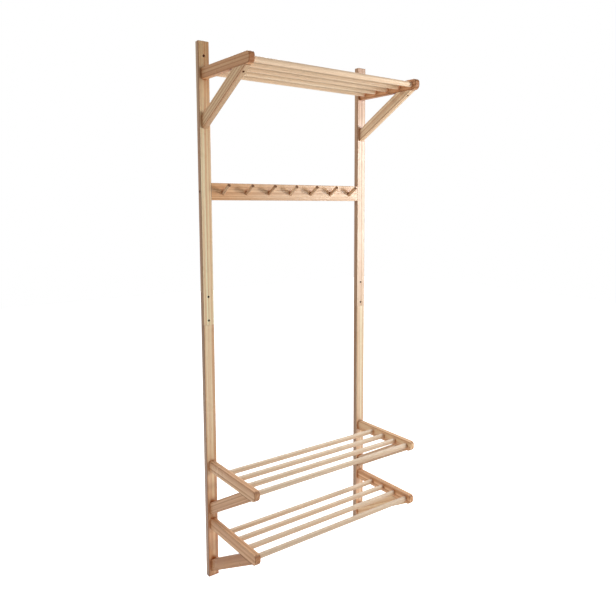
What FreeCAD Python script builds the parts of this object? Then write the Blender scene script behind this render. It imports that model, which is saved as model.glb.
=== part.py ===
import FreeCAD, Part
import math
import os

# Wall-fixed hall tree of wood: two uprights in halves, a hat shelf, a peg rail and two shoe shelves.
# Lengths are millimetres. X runs to the right, the wall is the plane Y = 0 and the front faces -Y.
# Heights are measured up from the lower ends of the uprights. The saved pieces are moved down so
# that the origin lies on the wall, midway between the two wall screw holes.

# Uprights
stand_height = 1905.0
upright_spacing = 700.0
upright_width = 40.0
upright_depth = 21.0
wall_hole_drop = 49.0
wall_hole_radius = 2.75
wall_recess_radius = 4.5
wall_recess_depth = 6.0

# Half lap between the two halves of an upright
lap_bottom_height = 935.0
lap_length = 116.0
lap_tongue_share = 0.5
lap_screw_end_distance = 16.0
lap_screw_back_cover = 2.5

# Hook rail and pegs
rail_drop = 473.0
rail_height = 60.0
rail_screw_bite = 24.0
peg_count = 7
peg_end_distance = 45.5
peg_radius = 6.5
peg_reach = 50.0
peg_back_cover = 2.5
peg_tip_round = 1.2
peg_tilt_degrees = 31.5
peg_height_share = 0.425

# Bracket arms
hat_arm_drop = 88.0
arm_thickness = 21.0
arm_height = 38.0
arm_length = 316.0
nose_top_round = 13.0
nose_bottom_round = 17.0
bracket_screw_bite = 13.0

# Diagonal braces
brace_thickness = 21.0
brace_width = 40.0
brace_foot_drop = 202.0
lowest_foot_height = 19.0
shoe_bracket_gap = 15.0
brace_tip_setback = 21.0
brace_tip_blunt = 3.0
brace_screw_setback = 31.0
brace_screw_cover = 8.0
brace_screw_bite = 22.0

# Shelf rods
hat_rod_count = 5
shoe_rod_count = 4
rod_radius = 9.5
rod_front_setback = 25.0
rod_rear_setback = 27.0
rod_height_share = 0.5
rod_socket_depth = 9.0
rod_end_chamfer = 1.0

# Screws
screw_head_radius = 4.0
screw_shank_radius = 2.0
screw_head_height = 2.6
screw_rim_height = 0.6
screw_point_length = 3.0
screw_key_sides = 6
screw_key_radius = 1.7
screw_key_depth = 1.6
front_recess = 1.5
side_recess = 2.0
back_recess = 1.0

# Finish and fits
edge_round = 2.0
lap_clearance = 0.3
rod_clearance = 0.1
peg_clearance = 0.1
screw_clearance = 0.1
end_clearance = 0.5
cut_overrun = 5.0
parallel_share = 1e-6
full_turn_degrees = 360.0

# Places worked out from the sizes above
sides = (("left", -1), ("right", 1))
upright_front = -upright_depth
wall_hole_height = stand_height - wall_hole_drop
lap_top_height = lap_bottom_height + lap_length
tongue_depth = upright_depth * lap_tongue_share
rail_length = upright_spacing - upright_width
rail_thickness = upright_depth
rail_top_height = stand_height - rail_drop
rail_bottom_height = rail_top_height - rail_height
peg_pitch = (rail_length - 2 * peg_end_distance) / (peg_count - 1)
peg_tilt = math.radians(peg_tilt_degrees)
peg_wall = peg_back_cover + peg_radius * math.sin(peg_tilt)
peg_socket_depth = (rail_thickness - peg_wall) / math.cos(peg_tilt)
nose_front = upright_front - arm_length
brace_tip_y = nose_front + brace_tip_setback
brace_angle = math.atan2(brace_foot_drop - arm_height, upright_front - brace_tip_y)
arm_inner_face = (upright_spacing - arm_thickness) / 2
rod_front_y = nose_front + rod_front_setback
rod_pitch = (arm_length - rod_front_setback - rod_rear_setback) / (hat_rod_count - 1)
hat_top = stand_height - hat_arm_drop
shoe_lower_top = lowest_foot_height + brace_foot_drop
shoe_upper_top = shoe_lower_top + shoe_bracket_gap + brace_foot_drop
shelves = (
    ("hat", hat_top, hat_rod_count),
    ("shoe_upper", shoe_upper_top, shoe_rod_count),
    ("shoe_lower", shoe_lower_top, shoe_rod_count),
)

X_AXIS = FreeCAD.Vector(1, 0, 0)
Y_AXIS = FreeCAD.Vector(0, 1, 0)
Z_AXIS = FreeCAD.Vector(0, 0, 1)


def place(shape, direction, point):
    """Turn a shape drawn along +Z to lie along a direction, and move it to a point."""
    turned = shape.copy()
    turned.Placement = FreeCAD.Placement(point, FreeCAD.Rotation(Z_AXIS, direction))
    return turned


def save(name, shape):
    """Write one piece, with the origin moved to the wall screw holes."""
    moved = shape.copy()
    moved.translate(Z_AXIS * -wall_hole_height)
    moved.exportStep(os.path.join("parts", name + ".step"))


def upright_x(side):
    """Centre of the upright on one side."""
    return side * upright_spacing / 2


def slab(points, thickness, centre_x):
    """A flat piece: a closed outline of (y, z) corners, made thick along X about its centre."""
    corners = [FreeCAD.Vector(centre_x - thickness / 2, y, z) for y, z in points]
    wire = Part.makePolygon(corners + corners[:1])
    return Part.Face(wire).extrude(X_AXIS * thickness)


def edges_along(shape, direction):
    """The straight edges of a shape that run along a direction."""
    found = []
    for edge in shape.Edges:
        run = edge.Vertexes[-1].Point - edge.Vertexes[0].Point
        if run.Length > 0 and run.cross(direction).Length < run.Length * parallel_share:
            found.append(edge)
    return found


def screw_profile(length, grow):
    """Half section of a countersunk screw along +Z, head at the bottom, grown for its hole."""
    head = screw_head_radius + grow
    shank = screw_shank_radius + grow
    return [
        FreeCAD.Vector(0, 0, 0),
        FreeCAD.Vector(head, 0, 0),
        FreeCAD.Vector(head, 0, screw_rim_height),
        FreeCAD.Vector(shank, 0, screw_head_height),
        FreeCAD.Vector(shank, 0, length - screw_point_length),
        FreeCAD.Vector(0, 0, length + grow),
    ]


def turned_solid(points):
    """Turn a closed half section about the Z axis."""
    wire = Part.makePolygon(points + points[:1])
    return Part.Face(wire).revolve(FreeCAD.Vector(0, 0, 0), Z_AXIS, full_turn_degrees)


def screw(length):
    """A countersunk screw with a hexagon socket, lying along +Z."""
    corners = []
    for step in range(screw_key_sides):
        angle = math.radians(full_turn_degrees * step / screw_key_sides)
        corners.append(FreeCAD.Vector(math.cos(angle), math.sin(angle), 0) * screw_key_radius)
    socket = Part.Face(Part.makePolygon(corners + corners[:1])).extrude(Z_AXIS * screw_key_depth)
    return turned_solid(screw_profile(length, 0)).cut(socket)


def screw_hole(length, recess):
    """The hole that such a screw lies in, open behind its head."""
    mouth = Part.makeCylinder(
        screw_head_radius + screw_clearance, recess + cut_overrun, FreeCAD.Vector(0, 0, 0), -Z_AXIS
    )
    return turned_solid(screw_profile(length, screw_clearance)).fuse(mouth)


def lap_screw_places():
    """Head point and direction of each lap joint screw."""
    found = []
    low = lap_bottom_height + lap_screw_end_distance
    high = lap_top_height - lap_screw_end_distance
    for _, side in sides:
        for height in (low, high):
            point = FreeCAD.Vector(upright_x(side), upright_front + front_recess, height)
            found.append((point, Y_AXIS))
    return found


def rail_screw_places():
    """Head point and direction of each screw through an upright into the rail's end."""
    found = []
    for _, side in sides:
        outer = upright_x(side) + side * (upright_width / 2 - side_recess)
        point = FreeCAD.Vector(outer, upright_front / 2, rail_top_height - rail_height / 2)
        found.append((point, X_AXIS * -side))
    return found


def brace_screw_places():
    """Head point and direction of each screw through a brace tip into its arm."""
    found = []
    head_drop = arm_height + brace_screw_cover
    for _, top, _ in shelves:
        for _, side in sides:
            point = FreeCAD.Vector(upright_x(side), brace_tip_y + brace_screw_setback, top - head_drop)
            found.append((point, Z_AXIS))
    return found


def bracket_screw_places():
    """Head point and direction of each screw through an upright into an arm or a brace foot."""
    found = []
    foot_height = brace_width / math.cos(brace_angle)
    for _, top, _ in shelves:
        for _, side in sides:
            for drop in (arm_height / 2, brace_foot_drop - foot_height / 2):
                point = FreeCAD.Vector(upright_x(side), -back_recess, top - drop)
                found.append((point, -Y_AXIS))
    return found


def screw_sets():
    """Every set of screws: node name, length, recess of the head and places."""
    lap_length_in = upright_depth - front_recess - lap_screw_back_cover
    rail_length_in = upright_width - side_recess + rail_screw_bite
    brace_length_in = brace_screw_cover + brace_screw_bite
    bracket_length_in = upright_depth - back_recess + bracket_screw_bite
    brace_recess = brace_screw_setback * math.tan(brace_angle)
    return (
        ("lap_screws", lap_length_in, front_recess, lap_screw_places()),
        ("rail_screws", rail_length_in, side_recess, rail_screw_places()),
        ("brace_screws", brace_length_in, brace_recess, brace_screw_places()),
        ("bracket_screws", bracket_length_in, back_recess, bracket_screw_places()),
    )


def drill(shape):
    """Cut from a piece the hole of every screw that reaches it."""
    for _, length, recess, places in screw_sets():
        for point, direction in places:
            hole = place(screw_hole(length, recess), direction, point)
            if hole.BoundBox.intersect(shape.BoundBox):
                shape = shape.cut(hole)
    return shape


def upright_bar(side, low, high, free_end):
    """A plain length of upright with eased long edges and an eased free end."""
    corner = FreeCAD.Vector(upright_x(side) - upright_width / 2, upright_front, low)
    bar = Part.makeBox(upright_width, upright_depth, high - low, corner)
    rim = [edge for edge in bar.Edges if abs(edge.BoundBox.Center.z - free_end) < edge_round]
    return bar.makeFillet(edge_round, edges_along(bar, Z_AXIS) + rim)


def lap_notch(side, back):
    """The half of the lap cut from the back or front of a bar, a little longer than the tongue."""
    corner = FreeCAD.Vector(
        upright_x(side) - upright_width / 2 - cut_overrun,
        upright_front + tongue_depth if back else upright_front - cut_overrun,
        lap_bottom_height - cut_overrun if back else lap_bottom_height - lap_clearance,
    )
    depth = upright_depth - tongue_depth if back else tongue_depth
    length = lap_length + lap_clearance + cut_overrun
    return Part.makeBox(upright_width + 2 * cut_overrun, depth + cut_overrun, length, corner)


def wall_hole(side):
    """Recessed hole for a wall screw, from the front of an upright."""
    start = FreeCAD.Vector(upright_x(side), upright_front - cut_overrun, wall_hole_height)
    recess = Part.makeCylinder(wall_recess_radius, wall_recess_depth + cut_overrun, start, Y_AXIS)
    through = Part.makeCylinder(wall_hole_radius, upright_depth + 2 * cut_overrun, start, Y_AXIS)
    return recess.fuse(through)


def upright_upper(side):
    """Upper half of an upright: full bar with its tongue in front of the lap."""
    bar = upright_bar(side, lap_bottom_height, stand_height, stand_height)
    return drill(bar.cut(lap_notch(side, True)).cut(wall_hole(side)))


def upright_lower(side):
    """Lower half of an upright: full bar with its tongue behind the lap."""
    bar = upright_bar(side, 0, lap_top_height, 0)
    return drill(bar.cut(lap_notch(side, False)))


def peg_axis():
    """Direction in which a peg leaves the rail."""
    return FreeCAD.Vector(0, -math.cos(peg_tilt), math.sin(peg_tilt))


def peg_base(index):
    """Point where a peg's axis crosses the front of the rail."""
    x = (index - (peg_count - 1) / 2) * peg_pitch
    return FreeCAD.Vector(x, upright_front, rail_bottom_height + rail_height * peg_height_share)


def peg(index):
    """A round peg with an eased tip, seated in the rail."""
    length = peg_socket_depth + peg_reach
    dowel = Part.makeCylinder(peg_radius, length)
    tip = [edge for edge in dowel.Edges if edge.BoundBox.ZMin > length / 2]
    dowel = dowel.makeFillet(peg_tip_round, tip)
    return place(dowel, peg_axis(), peg_base(index) - peg_axis() * peg_socket_depth)


def hook_rail():
    """The rail between the uprights, with slanted blind holes for the pegs."""
    corner = FreeCAD.Vector(-rail_length / 2, upright_front, rail_bottom_height)
    bar = Part.makeBox(rail_length, rail_thickness, rail_height, corner)
    bar = bar.makeFillet(edge_round, edges_along(bar, X_AXIS))
    for index in range(peg_count):
        start = peg_base(index) - peg_axis() * (peg_socket_depth + end_clearance)
        depth = peg_socket_depth + peg_reach
        bar = bar.cut(Part.makeCylinder(peg_radius + peg_clearance, depth, start, peg_axis()))
    return drill(bar)


def rod_places(top, count):
    """The (y, z) place of each rod of a shelf, from the front backwards."""
    z = top - arm_height * rod_height_share
    return [(rod_front_y + index * rod_pitch, z) for index in range(count)]


def nose_corner(bar, height):
    """The square edge across an arm's front end at one height."""
    found = []
    for edge in edges_along(bar, X_AXIS):
        box = edge.BoundBox
        if box.YMax < nose_front + edge_round and abs(box.ZMax - height) < edge_round:
            found.append(edge)
    return found


def arm(side, top, count):
    """A bracket arm with a rounded nose and blind sockets for the rods on its inner face."""
    bottom = top - arm_height
    outline = [(upright_front, bottom), (upright_front, top), (nose_front, top), (nose_front, bottom)]
    bar = slab(outline, arm_thickness, upright_x(side))
    for height, radius in ((top, nose_top_round), (bottom, nose_bottom_round)):
        bar = bar.makeFillet(radius, nose_corner(bar, height))
    bar = bar.makeFillet(edge_round, side_edges(bar, side, arm_thickness, upright_front))
    for y, z in rod_places(top, count):
        mouth = FreeCAD.Vector(side * (arm_inner_face - cut_overrun), y, z)
        depth = rod_socket_depth + end_clearance + cut_overrun
        bar = bar.cut(Part.makeCylinder(rod_radius + rod_clearance, depth, mouth, X_AXIS * side))
    return drill(bar)


def side_edges(shape, side, thickness, seat_y):
    """Edges round the two flat sides of a slab, without those on its rear seat."""
    centre = upright_x(side)
    found = []
    for edge in shape.Edges:
        box = edge.BoundBox
        flat = box.XLength < edge_round / 2 and abs(box.XMin - centre) > thickness / 4
        seated = box.YMin > seat_y - edge_round / 2
        if flat and not seated:
            found.append(edge)
    return found


def brace(side, top):
    """A diagonal brace cut to seat on the upright's front and on the arm's underside."""
    bottom = top - arm_height
    run_back = brace_width / math.sin(brace_angle)
    rise = brace_width / math.cos(brace_angle)
    foot = top - brace_foot_drop
    blunt_drop = brace_tip_blunt * math.tan(brace_angle)
    outline = [
        (upright_front, foot),
        (upright_front, foot + rise),
        (brace_tip_y + run_back, bottom),
        (brace_tip_y + brace_tip_blunt, bottom),
        (brace_tip_y + brace_tip_blunt, bottom - blunt_drop),
    ]
    bar = slab(outline, brace_thickness, upright_x(side))
    along = FreeCAD.Vector(0, -math.cos(brace_angle), math.sin(brace_angle))
    bar = bar.makeFillet(edge_round, edges_along(bar, along))
    return drill(bar)


def rod(place_yz):
    """A shelf rod with chamfered ends, seated in the sockets of both arms."""
    y, z = place_yz
    half = arm_inner_face + rod_socket_depth
    bar = Part.makeCylinder(rod_radius, 2 * half, FreeCAD.Vector(-half, y, z), X_AXIS)
    rims = [edge for edge in bar.Edges if edge.BoundBox.XLength < rod_end_chamfer]
    return bar.makeChamfer(rod_end_chamfer, rims)


def save_frame():
    """Write the uprights, the rail and its pegs."""
    for name, side in sides:
        save("upright_upper_" + name, upright_upper(side))
        save("upright_lower_" + name, upright_lower(side))
    save("hook_rail", hook_rail())
    for index in range(peg_count):
        save("peg_%d" % (index + 1), peg(index))


def save_shelves():
    """Write the arms, braces and rods of each shelf."""
    for shelf, top, count in shelves:
        for name, side in sides:
            save("%s_arm_%s" % (shelf, name), arm(side, top, count))
            save("%s_brace_%s" % (shelf, name), brace(side, top))
        for number, place_yz in enumerate(rod_places(top, count), 1):
            save("%s_rod_%d" % (shelf, number), rod(place_yz))


def save_screws():
    """Write each set of screws as one group of separate solids."""
    for name, length, _, places in screw_sets():
        screws = [place(screw(length), direction, point) for point, direction in places]
        save(name, Part.makeCompound(screws))


os.makedirs("parts", exist_ok=True)
save_frame()
save_shelves()
save_screws()
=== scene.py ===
"""Looks of a wall-fixed hall tree: oiled boards and dowels, dark screws and a pale studio.

The boards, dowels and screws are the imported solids, which stay where they are. Each one is dressed
with a finish of its own: a solid wood grain that runs along the piece, so that long faces show
streaks and cut ends show darker rings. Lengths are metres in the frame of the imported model.
"""

import logging
import math
import random
from dataclasses import dataclass, field, replace
from enum import Enum

import bpy
from mathutils import Matrix, Vector


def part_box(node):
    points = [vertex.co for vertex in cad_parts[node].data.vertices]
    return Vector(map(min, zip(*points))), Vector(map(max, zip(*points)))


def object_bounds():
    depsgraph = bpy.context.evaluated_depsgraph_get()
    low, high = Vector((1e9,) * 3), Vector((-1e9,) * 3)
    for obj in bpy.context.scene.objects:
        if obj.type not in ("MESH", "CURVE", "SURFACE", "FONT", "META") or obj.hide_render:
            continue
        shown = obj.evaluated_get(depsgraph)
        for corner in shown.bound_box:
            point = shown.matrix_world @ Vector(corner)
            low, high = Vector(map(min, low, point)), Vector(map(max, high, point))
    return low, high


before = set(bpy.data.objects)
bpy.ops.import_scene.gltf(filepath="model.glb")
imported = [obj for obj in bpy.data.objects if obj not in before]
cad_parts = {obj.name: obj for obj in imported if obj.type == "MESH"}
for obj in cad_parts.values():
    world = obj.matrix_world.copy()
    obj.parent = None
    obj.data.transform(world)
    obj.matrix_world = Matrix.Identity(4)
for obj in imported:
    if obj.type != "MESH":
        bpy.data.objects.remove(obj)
CAD_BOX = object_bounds()
GRAIN_SEED = 23

# Names and directions that several classes use
SIDES = ("left", "right")
RIGHTWARD = Vector((1.0, 0.0, 0.0))
BACKWARD = Vector((0.0, 1.0, 0.0))
UPWARD = Vector((0.0, 0.0, 1.0))

# The curve between the colours of a screen and linear light
SCREEN_WHITE = 255
SCREEN_TOE_END = 0.04045
SCREEN_TOE_SLOPE = 12.92
SCREEN_OFFSET = 0.055
SCREEN_POWER = 2.4

log = logging.getLogger("hall_tree")

Pair = tuple[float, float]
Point = tuple[float, float, float]
Colour = tuple[float, float, float]
LinearColour = tuple[float, float, float, float]
Socket = bpy.types.NodeSocket
Sockets = bpy.types.bpy_prop_collection
Feed = Socket | Vector | float | tuple[float, ...]

# A tint that leaves what it is multiplied on as it is
NO_TINT: Colour = (255, 255, 255)


def linear(colour: Colour, gain: float = 1.0) -> LinearColour:
    """Turn a colour of 0 to 255 as seen on a screen into a linear shader colour.

    Args:
        colour: Red, green and blue from 0 to 255.
        gain: Factor on the linear values.

    Returns:
        Red, green, blue and a full alpha.
    """
    parts = []
    for part in colour:
        share = part / SCREEN_WHITE
        low = share / SCREEN_TOE_SLOPE
        high = ((share + SCREEN_OFFSET) / (1 + SCREEN_OFFSET)) ** SCREEN_POWER
        parts.append(min(1.0, gain * (low if share <= SCREEN_TOE_END else high)))
    return (parts[0], parts[1], parts[2], 1.0)


def numbered(stem: str) -> list[str]:
    """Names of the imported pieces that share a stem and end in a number, in order."""
    matching = [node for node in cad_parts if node.startswith(stem)]
    return sorted(matching, key=lambda node: (len(node), node))


def put_on(node: str, material: bpy.types.Material) -> None:
    """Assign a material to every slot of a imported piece."""
    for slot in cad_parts[node].material_slots:
        slot.material = material


class Grain(Enum):
    """The way in which the fibres of a piece run."""

    UP = "up"
    ACROSS = "across"
    OUT = "out"
    SLANTED = "out and up"


class Cut(Enum):
    """How a piece was cut from its plank."""

    PLANED = "planed"
    TURNED = "turned"


@dataclass(frozen=True)
class GrainFrame:
    """Directions of a piece: along its fibres and across one of its faces."""

    along: Vector
    side: Vector

    @staticmethod
    def of(grain: Grain, slope: float) -> "GrainFrame":
        """Find the directions for one way of running.

        Args:
            grain: The way in which the fibres run.
            slope: Rise of a slanted piece, in radians.

        Returns:
            The directions as unit vectors.
        """
        slanted = UPWARD * math.sin(slope) - BACKWARD * math.cos(slope)
        choices = {
            Grain.UP: GrainFrame(UPWARD, RIGHTWARD),
            Grain.ACROSS: GrainFrame(RIGHTWARD, UPWARD),
            Grain.OUT: GrainFrame(-BACKWARD, RIGHTWARD),
            Grain.SLANTED: GrainFrame(slanted, RIGHTWARD),
        }
        return choices[grain]


@dataclass
class NodeCanvas:
    """A node tree with short calls for the nodes that the finishes use."""

    tree: bpy.types.NodeTree

    def add(self, kind: str, **settings: object) -> bpy.types.Node:
        """Add a node and set its own settings.

        Args:
            kind: Blender's name of the node type.
            settings: Values of the node's settings.

        Returns:
            The new node.
        """
        node = self.tree.nodes.new(kind)
        for name, value in settings.items():
            setattr(node, name, value)
        return node

    def feed(self, socket: Socket, value: Feed | None) -> None:
        """Link a socket into another one, or set the value that it holds.

        Args:
            socket: The socket to feed.
            value: A socket to link, a value to set, or nothing to leave the socket as it is.
        """
        if isinstance(value, Socket):
            self.tree.links.new(value, socket)
        elif value is not None:
            socket.default_value = value

    def number(self, operation: str, *values: Feed) -> Socket:
        """Work out a number from one, two or three numbers.

        Args:
            operation: Name of the sum.
            values: The numbers, in the order of the sum.

        Returns:
            The result's socket.
        """
        node = self.add("ShaderNodeMath", operation=operation)
        for socket, value in zip(node.inputs, values):
            self.feed(socket, value)
        return node.outputs[0]

    def vector(self, operation: str, first: Feed, second: Feed | None = None) -> Socket:
        """Work out a vector, or the size of one, from one or two vectors.

        Args:
            operation: Name of the sum.
            first: First vector.
            second: Second vector, or the factor of a SCALE.

        Returns:
            The result's socket.
        """
        node = self.add("ShaderNodeVectorMath", operation=operation)
        self.feed(node.inputs[0], first)
        self.feed(node.inputs["Scale"] if operation == "SCALE" else node.inputs[1], second)
        plain = operation in ("DOT_PRODUCT", "LENGTH")
        return node.outputs["Value"] if plain else node.outputs["Vector"]

    def noise(self, place: Feed, octaves: float, roughness: float = 0.5) -> Sockets:
        """Add soft noise at a place that is already scaled.

        Args:
            place: The scaled place.
            octaves: How many finer noises are laid over the first one.
            roughness: Strength of each finer noise beside the one before.

        Returns:
            The noise's outputs.
        """
        node = self.add("ShaderNodeTexNoise", noise_dimensions="3D")
        self.feed(node.inputs["Vector"], place)
        self.feed(node.inputs["Scale"], 1.0)
        self.feed(node.inputs["Detail"], octaves)
        self.feed(node.inputs["Roughness"], roughness)
        return node.outputs

    def remap(
        self, value: Feed, low: Feed, high: Feed, floor: Feed = 0.0, top: Feed = 1.0
    ) -> Socket:
        """Stretch a stretch of values smoothly onto another one.

        Args:
            value: Number to stretch.
            low: Value that becomes floor.
            high: Value that becomes top, which may be under low.
            floor: Result at low and beyond it.
            top: Result at high and beyond it.

        Returns:
            The result's socket.
        """
        node = self.add("ShaderNodeMapRange", interpolation_type="SMOOTHSTEP")
        for socket, given in zip(node.inputs, (value, low, high, floor, top)):
            self.feed(socket, given)
        return node.outputs[0]

    def blend(self, how: str, share: Feed, first: Feed, second: Feed) -> Socket:
        """Blend two colours.

        Args:
            how: Name of the blend.
            share: Share of the second colour.
            first: First colour.
            second: Second colour.

        Returns:
            The blended colour's socket.
        """
        node = self.add("ShaderNodeMix", data_type="RGBA", blend_type=how, clamp_factor=True)
        named = {socket.identifier: socket for socket in node.inputs}
        self.feed(named["Factor_Float"], share)
        self.feed(named["A_Color"], first)
        self.feed(named["B_Color"], second)
        return next(socket for socket in node.outputs if socket.identifier == "Result_Color")

    def place_group(self, group: bpy.types.NodeTree, **inputs: Feed) -> Sockets:
        """Place a shared effect and feed its inputs.

        Args:
            group: The shared effect.
            inputs: Value of each input, with underscores for the spaces in its name.

        Returns:
            The effect's outputs.
        """
        node = self.add("ShaderNodeGroup", node_tree=group)
        for name, value in inputs.items():
            self.feed(node.inputs[name.replace("_", " ")], value)
        return node.outputs


@dataclass(frozen=True)
class Figure:
    """A noise in the wood: its features per metre across and along the fibres, and its fineness."""

    across: float
    along: float
    octaves: float
    roughness: float = 0.5


@dataclass
class SharedEffects:
    """Shader node groups that more than one finish uses, each built once.

    A range is the value that gives the least, followed by the value that gives the most.
    """

    noise_middle: Point = (0.5, 0.5, 0.5)
    sway: Figure = Figure(9.0, 1.3, 2.0)
    unevenness: Figure = Figure(70.0, 0.4, 1.0)
    fibres: Figure = Figure(620.0, 9.0, 4.0, 0.65)
    pores: Figure = Figure(1500.0, 42.0, 2.0)
    streaks: Figure = Figure(95.0, 1.1, 3.0, 0.6)
    uneven_rings: float = 1.6
    late_rise_range: Pair = (0.25, 0.86)
    late_fall_range: Pair = (1.0, 0.9)
    fibre_range: Pair = (0.28, 0.72)
    pore_range: Pair = (0.6, 0.74)
    streak_range: Pair = (0.3, 0.7)
    end_range: Pair = (0.35, 0.9)
    edge_range: Pair = (0.995, 0.78)
    side_range: Pair = (0.6, 0.9)
    patches_per_metre: float = 60.0
    patch_octaves: float = 3.0
    patch_range: Pair = (0.3, 0.7)
    least_patch: float = 0.5
    # Painted shade in seams, seats and drilled holes, found by ambient occlusion
    crevice_shade_samples: int = 16
    crevice_shade_range: Pair = (0.85, 0.3)
    handling_offset: Point = (0.31, 0.17, 0.53)
    polish_octaves: float = 3.0
    polish_range: Pair = (0.35, 0.65)
    specks_per_patch: float = 6.0
    speck_octaves: float = 4.0
    speck_roughness: float = 0.6
    speck_range: Pair = (0.35, 0.7)
    least_speck: float = 0.6
    # Dust on faces that look up, which is also a painted highlight on them
    dust_and_highlight_range: Pair = (0.4, 0.95)
    grain: bpy.types.NodeTree = field(init=False)
    edges: bpy.types.NodeTree = field(init=False)
    crevice_shade: bpy.types.NodeTree = field(init=False)
    handling: bpy.types.NodeTree = field(init=False)

    def build(self) -> None:
        """Build every group."""
        self.grain = self._grain()
        self.edges = self._edges()
        self.crevice_shade = self._crevice_shade()
        self.handling = self._handling()
        log.info("built the shared effects")

    @staticmethod
    def _open(
        name: str, inputs: dict[str, str], outputs: tuple[str, ...]
    ) -> tuple[NodeCanvas, dict[str, Socket], dict[str, Socket]]:
        """Start a group.

        Args:
            name: Name of the group.
            inputs: Socket type of each input by name.
            outputs: Names of the outputs, which are all numbers.

        Returns:
            The canvas, the input sockets by name and the output sockets by name.
        """
        tree = bpy.data.node_groups.new(name, "ShaderNodeTree")
        for label, kind in inputs.items():
            tree.interface.new_socket(name=label, in_out="INPUT", socket_type="NodeSocket" + kind)
        for label in outputs:
            tree.interface.new_socket(name=label, in_out="OUTPUT", socket_type="NodeSocketFloat")
        canvas = NodeCanvas(tree)
        given = canvas.add("NodeGroupInput").outputs
        wanted = canvas.add("NodeGroupOutput").inputs
        return canvas, {s.name: s for s in given if s.name}, {s.name: s for s in wanted if s.name}

    def _grain(self) -> bpy.types.NodeTree:
        """Build solid wood: growth rings round a pith line, fibres and pores drawn out along it.

        Returns:
            The group.
        """
        canvas, given, wanted = self._open(
            "board grain",
            {
                "Along": "Vector",
                "Pith": "Vector",
                "Ring Width": "Float",
                "Wander": "Float",
                "Seed": "Float",
            },
            ("Late Wood", "Fibre", "Pore", "Streak", "End Cut", "Run"),
        )
        coordinates = canvas.add("ShaderNodeTexCoord").outputs
        offset = canvas.vector("SUBTRACT", coordinates["Object"], given["Pith"])
        run = canvas.vector("DOT_PRODUCT", offset, given["Along"])
        canvas.feed(wanted["Run"], run)
        lengthwise = canvas.vector("SCALE", given["Along"], run)
        crosswise = canvas.vector("SUBTRACT", offset, lengthwise)
        shift = canvas.vector("SCALE", given["Along"], given["Seed"])

        def drawn_out(figure: Figure) -> Sockets:
            """Add a noise that is drawn out along the fibres.

            Args:
                figure: The noise.

            Returns:
                The noise's outputs.
            """
            wide = canvas.vector("SCALE", crosswise, figure.across)
            long = canvas.vector("SCALE", lengthwise, figure.along)
            place = canvas.vector("ADD", canvas.vector("ADD", wide, long), shift)
            return canvas.noise(place, figure.octaves, figure.roughness)

        sway = canvas.vector("SUBTRACT", drawn_out(self.sway)["Color"], self.noise_middle)
        swayed = canvas.vector("ADD", crosswise, canvas.vector("SCALE", sway, given["Wander"]))
        radius = canvas.number("DIVIDE", canvas.vector("LENGTH", swayed), given["Ring Width"])
        uneven = canvas.number("MULTIPLY", drawn_out(self.unevenness)["Fac"], self.uneven_rings)
        ring = canvas.number("FRACT", canvas.number("ADD", radius, uneven))
        rise = canvas.remap(ring, *self.late_rise_range)
        fall = canvas.remap(ring, *self.late_fall_range)
        canvas.feed(wanted["Late Wood"], canvas.number("MULTIPLY", rise, fall))

        masks = (
            ("Fibre", self.fibres, self.fibre_range),
            ("Pore", self.pores, self.pore_range),
            ("Streak", self.streaks, self.streak_range),
        )
        for output, figure, stretch in masks:
            canvas.feed(wanted[output], canvas.remap(drawn_out(figure)["Fac"], *stretch))
        facing = canvas.vector("DOT_PRODUCT", coordinates["Normal"], given["Along"])
        cut = canvas.remap(canvas.number("ABSOLUTE", facing), *self.end_range)
        canvas.feed(wanted["End Cut"], cut)
        return canvas.tree

    def _edges(self) -> bpy.types.NodeTree:
        """Build masks of a squared piece: its eased edges, which drink more oil, and its side faces.

        Returns:
            The group.
        """
        canvas, given, wanted = self._open(
            "eased edges", {"Along": "Vector", "Side": "Vector"}, ("Soaked", "Side Face")
        )
        coordinates = canvas.add("ShaderNodeTexCoord").outputs
        third = canvas.vector("CROSS_PRODUCT", given["Along"], given["Side"])
        flats = []
        for way in (given["Along"], given["Side"], third):
            facing = canvas.vector("DOT_PRODUCT", coordinates["Normal"], way)
            flats.append(canvas.number("ABSOLUTE", facing))
        flattest = canvas.number("MAXIMUM", canvas.number("MAXIMUM", flats[0], flats[1]), flats[2])
        edge = canvas.remap(flattest, *self.edge_range)
        place = canvas.vector("SCALE", coordinates["Object"], self.patches_per_metre)
        patches = canvas.noise(place, self.patch_octaves)["Fac"]
        patchy = canvas.remap(patches, *self.patch_range, floor=self.least_patch)
        canvas.feed(wanted["Soaked"], canvas.number("MULTIPLY", edge, patchy))
        canvas.feed(wanted["Side Face"], canvas.remap(flats[1], *self.side_range))
        return canvas.tree

    def _crevice_shade(self) -> bpy.types.NodeTree:
        """Build a mask of painted shade in seams, seats and drilled holes, found by ambient occlusion.

        Returns:
            The group.
        """
        canvas, given, wanted = self._open("crevice_shade", {"Reach": "Float"}, ("Crevice Shade",))
        shade = canvas.add(
            "ShaderNodeAmbientOcclusion", samples=self.crevice_shade_samples, only_local=False
        )
        canvas.feed(shade.inputs["Distance"], given["Reach"])
        canvas.feed(wanted["Crevice Shade"], canvas.remap(shade.outputs["AO"], *self.crevice_shade_range))
        return canvas.tree

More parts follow.
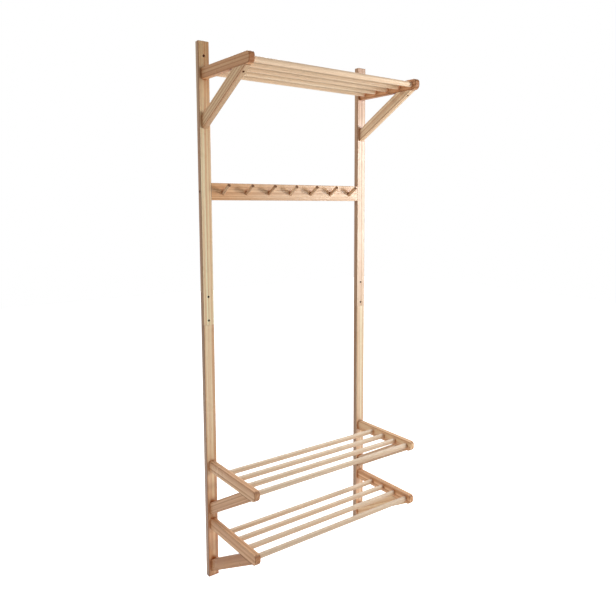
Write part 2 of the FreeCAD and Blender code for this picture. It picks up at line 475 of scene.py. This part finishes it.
    def _handling(self) -> bpy.types.NodeTree:
        """Build soft patches of polish, as left by hands, and specked pale dust on faces that look up,
        which is also a painted highlight on them.

        Returns:
            The group.
        """
        canvas, given, wanted = self._open(
            "handling", {"Size": "Float", "Seed": "Float"}, ("Polish", "Dust And Highlight")
        )
        coordinates = canvas.add("ShaderNodeTexCoord").outputs
        moved = canvas.vector("ADD", coordinates["Object"], self.handling_offset)
        spread = canvas.number("DIVIDE", 1.0, given["Size"])
        place = canvas.vector("ADD", canvas.vector("SCALE", moved, spread), given["Seed"])
        polish = canvas.noise(place, self.polish_octaves)["Fac"]
        canvas.feed(wanted["Polish"], canvas.remap(polish, *self.polish_range))
        # Faces that look up take dust and a painted highlight
        facing = canvas.vector("DOT_PRODUCT", coordinates["Normal"], UPWARD)
        settled_and_lit = canvas.remap(facing, *self.dust_and_highlight_range)
        finer = canvas.vector("SCALE", place, self.specks_per_patch)
        speck = canvas.noise(finer, self.speck_octaves, self.speck_roughness)["Fac"]
        specked = canvas.remap(speck, *self.speck_range, floor=self.least_speck)
        canvas.feed(wanted["Dust And Highlight"], canvas.number("MULTIPLY", settled_and_lit, specked))
        return canvas.tree


@dataclass(frozen=True)
class Board:
    """One piece of wood: its node, the run of its fibres and its place in the plank."""

    node: str
    directions: GrainFrame
    pith: Vector
    seed: float
    tone: float
    warmth: float

    def tint(self, colour: Colour) -> LinearColour:
        """Shade a colour as this plank has it.

        Args:
            colour: Red, green and blue from 0 to 255 on a plain plank.

        Returns:
            The linear shader colour, darker or lighter and more or less red.
        """
        red, green, blue, alpha = linear(colour, self.tone)
        return (red, green / self.warmth, blue / self.warmth ** 2, alpha)


@dataclass(frozen=True)
class ShadeDrift:
    """Painted shade that grows along a plank, from none at start to all at end, where less light falls.

    Both are measured along the fibres from the plank's middle.
    """

    tint: Colour
    start: float
    end: float


@dataclass(frozen=True)
class WoodFinish:
    """A clear oil on light wood.

    The polish is taken from the roughness where hands rub, and the end roughness is added on cut
    ends. The side, narrow and drift tints are painted shade: on the sides, on the other faces of a
    squared piece, and along the plank on those faces.
    """

    name: str
    cut: Cut
    early_wood: Colour = (254, 224, 187)
    late_wood: Colour = (190, 136, 94)
    streak_tint: Colour = (214, 166, 123)
    end_tint: Colour = (150, 100, 68)
    edge_tint: Colour = (132, 88, 58)
    # Painted shade on the side faces of a squared piece
    side_shade_tint: Colour = NO_TINT
    # Warm painted shade in seams, seats and holes, standing in for shade and light bounced between wood
    crevice_shade_tint: Colour = (198, 136, 72)
    # Pale dust that is also a painted highlight on faces that look up
    dust_and_highlight_tint: Colour = (226, 214, 200)
    ring_width: float = 0.0105
    wander: float = 0.008
    ring_share: float = 0.72
    streak_share: float = 0.6
    fibre_share: float = 0.3
    pore_share: float = 0.45
    end_share: float = 0.75
    edge_share: float = 0.72
    dust_and_highlight_share: float = 0.1
    crevice_shade_reach: float = 0.022
    handling_size: float = 0.09
    roughness: float = 0.4
    polish: float = 0.14
    end_roughness: float = 0.2
    gloss: float = 0.35
    refraction: float = 1.47
    coat: float = 0.0
    coat_roughness: float = 0.3
    relief: float = 0.00015
    relief_strength: float = 0.4
    fibre_relief_share: float = 0.5
    ring_relief_share: float = 0.4
    # Painted shade on the faces of a squared piece that aren't its sides
    narrow_shade_tint: Colour | None = None
    # Painted shade along the plank
    shade_drift: ShadeDrift | None = None

    def make(self, effects: SharedEffects, board: Board) -> bpy.types.Material:
        """Make the finish for one piece of wood.

        Args:
            effects: Shared shader groups.
            board: The piece that takes the finish.

        Returns:
            The new material.
        """
        material = bpy.data.materials.new(f"{self.name}_{board.node}")
        material.use_nodes = True
        canvas = NodeCanvas(material.node_tree)
        shader = canvas.tree.nodes["Principled BSDF"]
        grain = canvas.place_group(
            effects.grain, Along=board.directions.along, Pith=board.pith,
            Ring_Width=self.ring_width, Wander=self.wander, Seed=board.seed,
        )
        crevice_shade = canvas.place_group(effects.crevice_shade, Reach=self.crevice_shade_reach)["Crevice Shade"]
        handling = canvas.place_group(effects.handling, Size=self.handling_size, Seed=board.seed)
        colour = self._bare(canvas, grain, board)
        if self.cut is Cut.PLANED:
            edges = canvas.place_group(
                effects.edges, Along=board.directions.along, Side=board.directions.side
            )
            colour = self._squared(canvas, colour, edges, grain["Run"], board)
        # Dust, which is also a painted highlight on faces that look up
        dusted_and_lit = canvas.number("MULTIPLY", handling["Dust And Highlight"], self.dust_and_highlight_share)
        colour = canvas.blend("MIX", dusted_and_lit, colour, linear(self.dust_and_highlight_tint))
        # Painted shade in seams, seats and drilled holes
        colour = canvas.blend("MULTIPLY", crevice_shade, colour, linear(self.crevice_shade_tint))
        canvas.feed(shader.inputs["Base Color"], colour)
        self._surface(canvas, shader, grain, handling)
        return material

    def _bare(self, canvas: NodeCanvas, grain: Sockets, board: Board) -> Socket:
        """Colour the bare wood under the oil.

        Args:
            canvas: The material's node tree.
            grain: Outputs of the grain group.
            board: The piece of wood.

        Returns:
            The colour's socket.
        """
        early = board.tint(self.early_wood)
        ringed = canvas.number("MULTIPLY", grain["Late Wood"], self.ring_share)
        colour = canvas.blend("MIX", ringed, early, board.tint(self.late_wood))
        streaked = canvas.number("MULTIPLY", grain["Streak"], self.streak_share)
        colour = canvas.blend("MIX", streaked, colour, board.tint(self.streak_tint))
        fibred = canvas.number("MULTIPLY", grain["Fibre"], self.fibre_share)
        colour = canvas.blend("MIX", fibred, colour, board.tint(self.late_wood))
        pored = canvas.number("MULTIPLY", grain["Pore"], self.pore_share)
        colour = canvas.blend("MULTIPLY", pored, colour, linear(self.end_tint))
        ended = canvas.number("MULTIPLY", grain["End Cut"], self.end_share)
        return canvas.blend("MIX", ended, colour, board.tint(self.end_tint))

    def _squared(
        self, canvas: NodeCanvas, colour: Socket, edges: Sockets, run: Socket, board: Board
    ) -> Socket:
        """Tint the edges, and paint shade on the faces, of a squared piece.

        Args:
            canvas: The material's node tree.
            colour: Colour of the bare wood.
            edges: Outputs of the edges group.
            run: Distance along the fibres from the piece's middle.
            board: The piece of wood.

        Returns:
            The tinted colour's socket.
        """
        soaked = canvas.number("MULTIPLY", edges["Soaked"], self.edge_share)
        colour = canvas.blend("MIX", soaked, colour, board.tint(self.edge_tint))
        # Painted shade on the side faces
        colour = canvas.blend("MULTIPLY", edges["Side Face"], colour, linear(self.side_shade_tint))
        others = canvas.number("SUBTRACT", 1.0, edges["Side Face"])
        # Painted shade on the faces that aren't the sides
        if self.narrow_shade_tint:
            colour = canvas.blend("MULTIPLY", others, colour, linear(self.narrow_shade_tint))
        # Painted shade along the plank, on the faces that aren't the sides
        if self.shade_drift:
            reached = canvas.remap(run, self.shade_drift.start, self.shade_drift.end)
            shade_drifted = canvas.number("MULTIPLY", others, reached)
            colour = canvas.blend("MULTIPLY", shade_drifted, colour, linear(self.shade_drift.tint))
        return colour

    def _surface(
        self, canvas: NodeCanvas, shader: bpy.types.Node, grain: Sockets, handling: Sockets
    ) -> None:
        """Feed the gloss and the fine relief of the wood.

        Args:
            canvas: The material's node tree.
            shader: The shader to feed.
            grain: Outputs of the grain group.
            handling: Outputs of the handling group.
        """
        dull = canvas.number("MULTIPLY_ADD", handling["Polish"], -self.polish, self.roughness)
        duller = canvas.number("MULTIPLY_ADD", grain["End Cut"], self.end_roughness, dull)
        canvas.feed(shader.inputs["Roughness"], duller)
        fibres = canvas.number("MULTIPLY", grain["Fibre"], self.fibre_relief_share)
        lows = canvas.number("ADD", grain["Pore"], fibres)
        rings = canvas.number("MULTIPLY", grain["Late Wood"], self.ring_relief_share)
        bump = canvas.add("ShaderNodeBump")
        canvas.feed(bump.inputs["Height"], canvas.number("SUBTRACT", rings, lows))
        canvas.feed(bump.inputs["Strength"], self.relief_strength)
        canvas.feed(bump.inputs["Distance"], self.relief)
        canvas.feed(shader.inputs["Normal"], bump.outputs["Normal"])
        shader.inputs["IOR"].default_value = self.refraction
        shader.inputs["Specular IOR Level"].default_value = self.gloss
        shader.inputs["Coat Weight"].default_value = self.coat
        shader.inputs["Coat Roughness"].default_value = self.coat_roughness


@dataclass(frozen=True)
class ScrewFinish:
    """Dark bronzed steel, rubbed a little brighter in patches."""

    name: str = "bronzed_steel"
    bronzed: Colour = (62, 48, 38)
    worn: Colour = (128, 112, 96)
    worn_share: float = 0.5
    # Painted shade inside the recesses of the screws
    recess_shade_tint: Colour = (60, 50, 44)
    recess_shade_reach: float = 0.002
    handling_size: float = 0.003
    handling_seed: float = 0.0
    roughness: float = 0.42
    polish: float = 0.15
    metallic: float = 0.9

    def make(self, effects: SharedEffects) -> bpy.types.Material:
        """Make the finish.

        Args:
            effects: Shared shader groups.

        Returns:
            The new material.
        """
        material = bpy.data.materials.new(self.name)
        material.use_nodes = True
        canvas = NodeCanvas(material.node_tree)
        shader = canvas.tree.nodes["Principled BSDF"]
        handling = canvas.place_group(
            effects.handling, Size=self.handling_size, Seed=self.handling_seed
        )
        # Painted shade inside the recesses, found by ambient occlusion
        recess_shade = canvas.place_group(effects.crevice_shade, Reach=self.recess_shade_reach)["Crevice Shade"]
        scuffed = canvas.number("MULTIPLY", handling["Polish"], self.worn_share)
        colour = canvas.blend("MIX", scuffed, linear(self.bronzed), linear(self.worn))
        colour = canvas.blend("MULTIPLY", recess_shade, colour, linear(self.recess_shade_tint))
        canvas.feed(shader.inputs["Base Color"], colour)
        dull = canvas.number("MULTIPLY_ADD", handling["Polish"], -self.polish, self.roughness)
        canvas.feed(shader.inputs["Roughness"], dull)
        shader.inputs["Metallic"].default_value = self.metallic
        return material


@dataclass
class WoodShop:
    """Chooses a place in the plank for each piece and dresses it."""

    effects: SharedEffects
    draw: random.Random = field(default_factory=lambda: random.Random(GRAIN_SEED))
    pith_near: float = 0.03
    pith_far: float = 0.09
    tone_spread: float = 0.03
    seed_span: float = 40.0

    def saw(
        self, node: str, grain: Grain, slope: float = 0.0, tone: float = 1.0, warmth: float = 1.0
    ) -> Board:
        """Pick the plank for one piece.

        Args:
            node: Name of the piece.
            grain: The way in which its fibres run.
            slope: Rise of a slanted piece, in radians.
            tone: How light the plank is.
            warmth: How red the plank is.

        Returns:
            The piece of wood.
        """
        low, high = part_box(node)
        directions = GrainFrame.of(grain, slope)
        turn = self.draw.uniform(0, math.tau)
        reach = self.draw.uniform(self.pith_near, self.pith_far)
        third = directions.along.cross(directions.side)
        away = directions.side * math.cos(turn) + third * math.sin(turn)
        own_tone = tone * (1 + self.draw.uniform(-self.tone_spread, self.tone_spread))
        seed = self.draw.uniform(0, self.seed_span)
        return Board(node, directions, (low + high) / 2 + away * reach, seed, own_tone, warmth)

    def dress(self, board: Board, finish: WoodFinish) -> None:
        """Give a piece its own finish."""
        put_on(board.node, finish.make(self.effects, board))
        log.info("dressed %s with %s", board.node, finish.name)


@dataclass(frozen=True)
class UprightHalf:
    """The upper or lower half of the uprights, with the planks of its left and right one."""

    name: str
    tones: Pair
    warmths: Pair
    # Painted shade on the side faces of the left and the right plank
    side_shade_tints: tuple[Colour, Colour]
    # Painted shade along the planks
    shade_drift: ShadeDrift


@dataclass
class WallFrame:
    """The two uprights, each lapped from two halves."""

    finish: WoodFinish = WoodFinish("upright_wood", Cut.PLANED, gloss=0.5, coat=0.8)
    halves: tuple[UprightHalf, ...] = (
        UprightHalf(
            name="upright_upper",
            tones=(1.27, 0.95),
            warmths=(0.99, 0.95),
            # painted shade on the side faces
            side_shade_tints=((212, 190, 170), (215, 201, 190)),
            # painted shade towards the top
            shade_drift=ShadeDrift((217, 198, 184), start=0.05, end=0.5),
        ),
        UprightHalf(
            name="upright_lower",
            tones=(1.16, 1.13),
            warmths=(1.02, 0.93),
            # painted shade on the side faces
            side_shade_tints=((185, 159, 136), (189, 168, 148)),
            # painted shade towards the foot
            shade_drift=ShadeDrift((251, 231, 219), start=0.05, end=-0.4),
        ),
    )

    def dress(self, shop: WoodShop) -> None:
        """Dress the four halves.

        Args:
            shop: Where the planks are chosen.
        """
        for half in self.halves:
            planks = zip(SIDES, half.tones, half.warmths, half.side_shade_tints)
            for side, tone, warmth, side_shade_tint in planks:
                board = shop.saw(f"{half.name}_{side}", Grain.UP, tone=tone, warmth=warmth)
                shop.dress(board, replace(self.finish, side_shade_tint=side_shade_tint, shade_drift=half.shade_drift))


@dataclass
class PegRail:
    """The rail between the uprights and its slanted pegs."""

    rail: str = "hook_rail"
    peg_stem: str = "peg_"
    peg_tilt: float = math.radians(31.5)
    rail_tone: float = 0.96
    rail_warmth: float = 1.04
    peg_tone: float = 0.89
    peg_warmth: float = 1.04
    rail_finish: WoodFinish = WoodFinish(
        "rail_wood", Cut.PLANED, ring_share=0.5, gloss=0.5, coat=0.3,
        # painted shade towards the left end
        shade_drift=ShadeDrift((255, 239, 221), start=-0.08, end=-0.34),
    )
    peg_finish: WoodFinish = WoodFinish(
        "peg_wood", Cut.TURNED, end_tint=(126, 82, 54), end_share=0.9
    )

    def dress(self, shop: WoodShop) -> None:
        """Dress the rail and each peg.

        Args:
            shop: Where the planks are chosen.
        """
        rail = shop.saw(self.rail, Grain.ACROSS, tone=self.rail_tone, warmth=self.rail_warmth)
        shop.dress(rail, self.rail_finish)
        for node in numbered(self.peg_stem):
            peg = shop.saw(node, Grain.SLANTED, self.peg_tilt, self.peg_tone, self.peg_warmth)
            shop.dress(peg, self.peg_finish)


@dataclass
class RodShelf:
    """A shelf of round rods between two braced brackets, a left one and a right one."""

    name: str
    arm_tones: Pair
    arm_warmths: Pair
    brace_tones: Pair
    brace_warmths: Pair
    rod_tone: float
    # Shares of dark end grain on the left and right noses; the right noses take less, a painted
    # highlight where the lamps on the right fall
    nose_end_and_light_shares: Pair = (0.5, 0.12)
    # Share of pale dust on the rods, which is also a painted highlight on their tops
    rod_dust_and_highlight_share: float = 0.5
    # Painted shade on the side faces of the arms
    arm_side_shade_tint: Colour = NO_TINT
    # Painted shade on the narrow faces of each brace
    brace_narrow_shade_tints: tuple[Colour | None, Colour | None] = (None, None)
    arm_finish: WoodFinish = WoodFinish("arm_wood", Cut.PLANED)
    brace_finish: WoodFinish = WoodFinish("brace_wood", Cut.PLANED)
    # The rods take a warm painted shade where they meet the arms
    rod_finish: WoodFinish = WoodFinish(
        "rod_wood", Cut.TURNED, early_wood=(240, 217, 189), late_wood=(206, 166, 128),
        # The rods' pale dust is also a painted highlight on their tops
        streak_tint=(226, 190, 152), dust_and_highlight_tint=(255, 244, 228), crevice_shade_tint=(232, 152, 80),
        ring_share=0.3, fibre_share=0.25, crevice_shade_reach=0.025, gloss=0.3, coat=0.1,
    )

    def brace_slope(self, node: str) -> float:
        """Rise of a brace, from the upright to its tip, in radians."""
        low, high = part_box(node)
        return math.atan2(high.z - low.z, high.y - low.y)

    def dress(self, shop: WoodShop) -> None:
        """Dress the arms, braces and rods.

        Args:
            shop: Where the planks are chosen.
        """
        # The right noses take less dark end grain, a painted highlight
        arms = zip(SIDES, self.arm_tones, self.arm_warmths, self.nose_end_and_light_shares)
        for side, tone, warmth, nose_end_and_light_share in arms:
            arm = shop.saw(f"{self.name}_arm_{side}", Grain.OUT, tone=tone, warmth=warmth)
            finish = replace(self.arm_finish, end_share=nose_end_and_light_share, side_shade_tint=self.arm_side_shade_tint)
            shop.dress(arm, finish)
        braces = zip(SIDES, self.brace_tones, self.brace_warmths, self.brace_narrow_shade_tints)
        for side, tone, warmth, narrow_shade_tint in braces:
            node = f"{self.name}_brace_{side}"
            brace = shop.saw(node, Grain.SLANTED, self.brace_slope(node), tone, warmth)
            shop.dress(brace, replace(self.brace_finish, narrow_shade_tint=narrow_shade_tint))
        rod_finish = replace(self.rod_finish, dust_and_highlight_share=self.rod_dust_and_highlight_share)
        for node in numbered(f"{self.name}_rod_"):
            shop.dress(shop.saw(node, Grain.ACROSS, tone=self.rod_tone), rod_finish)


@dataclass
class Fasteners:
    """The sets of dark screws."""

    sets: tuple[str, ...] = ("lap_screws", "rail_screws", "brace_screws", "bracket_screws")
    finish: ScrewFinish = ScrewFinish()

    def dress(self, effects: SharedEffects) -> None:
        """Dress every set of screws.

        Args:
            effects: Shared shader groups.
        """
        material = self.finish.make(effects)
        for node in self.sets:
            put_on(node, material)
            log.info("dressed %s with %s", node, self.finish.name)


class LampUse(Enum):
    """What a lamp does to the surfaces that it faces."""

    FULL = "lights them and shows in their sheen"
    LIGHT = "lights them only"
    SHEEN = "shows in their sheen only"


@dataclass(frozen=True)
class SoftBox:
    """A soft studio lamp that faces a point."""

    name: str
    place: Point
    target: Point
    width: float
    height: float
    watts: float
    use: LampUse = LampUse.FULL

    def build(self) -> None:
        """Set up the lamp."""
        lamp = bpy.data.lights.new(self.name, "AREA")
        lamp.shape = "RECTANGLE"
        lamp.size = self.width
        lamp.size_y = self.height
        lamp.energy = self.watts
        stand = bpy.data.objects.new(self.name, lamp)
        stand.location = self.place
        stand.visible_glossy = self.use is not LampUse.LIGHT
        stand.visible_diffuse = self.use is not LampUse.SHEEN
        aim = Vector(self.target) - Vector(self.place)
        stand.rotation_euler = aim.to_track_quat("-Z", "Y").to_euler()
        bpy.context.scene.collection.objects.link(stand)
        log.info("lit %s", self.name)


@dataclass
class Studio:
    """Pale floor, white surround and soft lamps."""

    floor_size: float = 14.0
    floor_colour: Colour = (238, 238, 238)
    floor_roughness: float = 0.9
    floor_glow: float = 0.23
    floor_glow_seen: float = 1.1
    surround_colour: Colour = (255, 255, 255)
    back_light: float = 1.0
    left_light: float = 0.45
    right_light: float = 0.3
    above_light: float = 0.34
    above_range: Pair = (0.3, 0.7)
    side_sharpness: float = 2.0
    reflected_share: float = 0.5
    surround_seen: float = 1.0
    lamps: tuple[SoftBox, ...] = (
        SoftBox("key_lamp", (1.75, -1.85, 0.0), (0.0, -0.1, -0.7), 0.36, 0.36, 29.0, LampUse.LIGHT),
        SoftBox("strip_lamp", (2.1, -2.0, -0.25), (0.1, -0.05, -0.5), 0.5, 2.0, 20.0),
        SoftBox("sheen_lamp", (2.05, -2.0, -0.45), (0.35, -0.02, -0.45), 0.6, 1.3, 15.5, LampUse.SHEEN),
        SoftBox("back_lamp", (0.0, 1.2, 1.4), (0.0, -0.15, -1.0), 2.0, 1.0, 48.0),
    )

    def build(self) -> None:
        """Set up the floor, the surround and the lamps."""
        self._floor()
        self._surround()
        for lamp in self.lamps:
            lamp.build()
        bpy.context.scene.view_settings.view_transform = "Standard"

    def _floor(self) -> None:
        """Lay a plain pale floor under the feet of the uprights."""
        half = self.floor_size / 2
        height = CAD_BOX[0].z
        outline = ((-half, -half), (half, -half), (half, half), (-half, half))
        mesh = bpy.data.meshes.new("studio_floor")
        mesh.from_pydata([(x, y, height) for x, y in outline], [], [(0, 1, 2, 3)])
        floor = bpy.data.objects.new("studio_floor", mesh)
        bpy.context.scene.collection.objects.link(floor)
        material = bpy.data.materials.new("studio_floor_paint")
        material.use_nodes = True
        canvas = NodeCanvas(material.node_tree)
        shader = canvas.tree.nodes["Principled BSDF"]
        shader.inputs["Base Color"].default_value = linear(self.floor_colour)
        shader.inputs["Roughness"].default_value = self.floor_roughness
        shader.inputs["Emission Color"].default_value = linear(self.floor_colour)
        seen = canvas.add("ShaderNodeLightPath").outputs["Is Camera Ray"]
        glow = canvas.remap(seen, 0.0, 1.0, self.floor_glow, self.floor_glow_seen)
        canvas.feed(shader.inputs["Emission Strength"], glow)
        mesh.materials.append(material)
        log.info("laid the floor")

    def _surround(self) -> None:
        """Surround the studio with white that lights from behind, from both sides and from above."""
        world = bpy.data.worlds.new("studio_surround")
        world.use_nodes = True
        canvas = NodeCanvas(world.node_tree)
        light = canvas.tree.nodes["Background"]
        light.inputs["Color"].default_value = linear(self.surround_colour)
        way = canvas.add("ShaderNodeTexCoord").outputs["Generated"]
        above = canvas.remap(canvas.vector("DOT_PRODUCT", way, UPWARD), *self.above_range)
        level = canvas.number("SUBTRACT", 1.0, above)
        glow = canvas.number("MULTIPLY", above, self.above_light)
        around = (
            (BACKWARD, self.back_light),
            (-RIGHTWARD, self.left_light),
            (RIGHTWARD, self.right_light),
        )
        for towards, brightness in around:
            lean = canvas.number("MAXIMUM", canvas.vector("DOT_PRODUCT", way, towards), 0.0)
            share = canvas.number("MULTIPLY", canvas.number("POWER", lean, self.side_sharpness), level)
            glow = canvas.number("ADD", glow, canvas.number("MULTIPLY", share, brightness))
        path = canvas.add("ShaderNodeLightPath").outputs
        mirrored = canvas.remap(path["Is Glossy Ray"], 0.0, 1.0, 1.0, self.reflected_share)
        glow = canvas.number("MULTIPLY", glow, mirrored)
        strength = canvas.remap(path["Is Camera Ray"], 0.0, 1.0, glow, self.surround_seen)
        canvas.feed(light.inputs["Strength"], strength)
        bpy.context.scene.world = world
        log.info("set up the surround")


@dataclass
class PhotoCamera:
    """The camera that took the photograph, found from the edges of the boards."""

    frame_pixels: float = 616.0
    focal_pixels: float = 631.8
    axis_x_pixels: float = 333.83
    axis_y_pixels: float = 271.74
    place: Point = (-1.3536, -2.0227, -0.4976)
    yaw: float = math.radians(37.953)
    pitch: float = math.radians(6.089)
    roll: float = math.radians(0.065)
    sensor: float = 36.0

    def build(self) -> None:
        """Set up the camera and make it the scene's own."""
        camera = bpy.data.cameras.new("photo_camera")
        camera.sensor_width = self.sensor
        camera.lens = self.sensor * self.focal_pixels / self.frame_pixels
        camera.shift_x = (self.frame_pixels / 2 - self.axis_x_pixels) / self.frame_pixels
        camera.shift_y = (self.axis_y_pixels - self.frame_pixels / 2) / self.frame_pixels
        stand = bpy.data.objects.new("photo_camera", camera)
        ahead = Vector((
            math.sin(self.yaw) * math.cos(self.pitch),
            math.cos(self.yaw) * math.cos(self.pitch),
            -math.sin(self.pitch),
        ))
        level = Vector((math.cos(self.yaw), -math.sin(self.yaw), 0))
        right = Matrix.Rotation(-self.roll, 3, ahead) @ level
        rise = right.cross(ahead)
        axes = Matrix((right, rise, -ahead)).transposed()
        stand.matrix_world = Matrix.Translation(self.place) @ axes.to_4x4()
        bpy.context.scene.collection.objects.link(stand)
        bpy.context.scene.camera = stand
        log.info("placed the camera")


def main() -> None:
    """Dress every piece and set up the studio."""
    logging.basicConfig(level=logging.INFO, format="%(name)s: %(message)s")
    effects = SharedEffects()
    effects.build()
    shop = WoodShop(effects)
    shelves = (
        RodShelf(
            name="hat",
            arm_tones=(1.15, 0.91),
            arm_warmths=(1.25, 1.27),
            brace_tones=(1.12, 1.07),
            brace_warmths=(1.13, 1.0),
            rod_tone=1.17,
            nose_end_and_light_shares=(0.75, 0.62),
            rod_dust_and_highlight_share=0.1,
            # painted shade on the side faces of the arms
            arm_side_shade_tint=(237, 228, 224),
            # painted shade on the narrow faces of the left brace
            brace_narrow_shade_tints=((228, 233, 242), None),
        ),
        RodShelf(
            name="shoe_upper",
            arm_tones=(1.03, 1.15),
            arm_warmths=(1.12, 1.07),
            brace_tones=(0.91, 0.98),
            brace_warmths=(1.18, 0.92),
            rod_tone=0.9,
        ),
        RodShelf(
            name="shoe_lower",
            arm_tones=(0.92, 1.01),
            arm_warmths=(1.19, 1.18),
            brace_tones=(0.75, 1.2),
            brace_warmths=(1.32, 1.03),
            rod_tone=0.9,
        ),
    )
    for sub_assembly in (WallFrame(), PegRail(), *shelves):
        sub_assembly.dress(shop)
    Fasteners().dress(effects)
    Studio().build()
    PhotoCamera().build()


if __name__ == "__main__":
    main()
